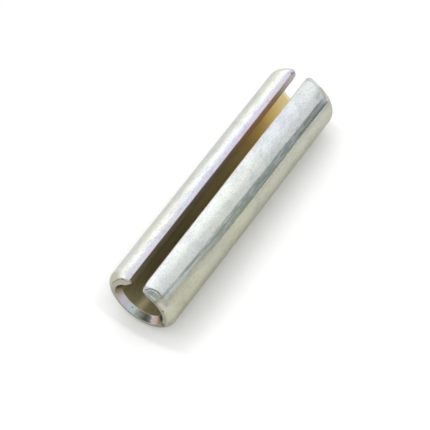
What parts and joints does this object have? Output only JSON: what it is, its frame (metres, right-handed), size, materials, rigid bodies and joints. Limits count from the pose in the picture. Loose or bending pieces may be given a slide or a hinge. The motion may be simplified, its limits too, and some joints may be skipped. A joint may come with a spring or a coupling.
{
  "type": "spring roll pin",
  "caption": "Slotted spring pin: a strip of spring steel rolled into a C, with rounded noses, that grips a slightly smaller hole.",
  "frame": {"origin": "on the pin's axis, half way between its end faces", "axes": "+X along the pin; +Z towards the slot, which is straight up when the pin lies at rest; the two ends are alike"},
  "size_m": [0.0382, 0.0098, 0.0097],
  "materials": {
    "zinc_plated_steel": "satin zinc plate with a thin clear-yellow passivation over spring steel"
  },
  "bodies": {
    "root": {"spring_pin": "zinc_plated_steel"}
  },
  "joints": []
}
